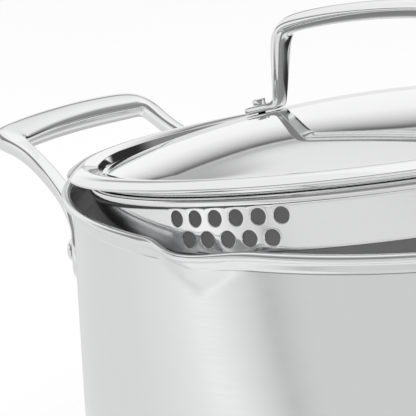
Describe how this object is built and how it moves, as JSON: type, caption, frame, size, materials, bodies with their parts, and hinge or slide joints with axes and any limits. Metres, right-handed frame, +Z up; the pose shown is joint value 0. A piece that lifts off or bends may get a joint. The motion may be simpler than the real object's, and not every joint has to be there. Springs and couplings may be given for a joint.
{
  "type": "stainless steel stockpot with straining lid",
  "caption": "Deep round steel pot with loop side handles, pouring spouts in its rolled rim and a domed straining lid left ajar, for boiling and draining food.",
  "frame": {"origin": "centre of the base cap's flat underside", "axes": "+Z up out of the pot's mouth, +X towards the right side handle, -Y towards the front pouring spout"},
  "size_m": [0.3432, 0.2662, 0.2114],
  "materials": {
    "satin_steel": "satin stainless steel",
    "polished_steel": "mirror polished stainless steel",
    "core_aluminium": "plain aluminium, hidden inside the base"
  },
  "bodies": {
    "pot": {"pot_shell": "satin_steel", "base_core_disc": "core_aluminium", "base_cap": "satin_steel", "side_handle_left": "polished_steel", "side_handle_right": "polished_steel", "side_rivet_left_front": "polished_steel", "side_rivet_left_back": "polished_steel", "side_rivet_right_front": "polished_steel", "side_rivet_right_back": "polished_steel"},
    "lid": {"lid_dome": "polished_steel", "strainer_band": "satin_steel", "lid_handle": "polished_steel", "lid_rivet_left": "polished_steel", "lid_rivet_right": "polished_steel"}
  },
  "joints": [
    {"name": "lid_lift", "type": "slide", "parent": "pot", "child": "lid", "axis": [0, 0, 1], "range_m": [0, 0.12]}
  ]
}
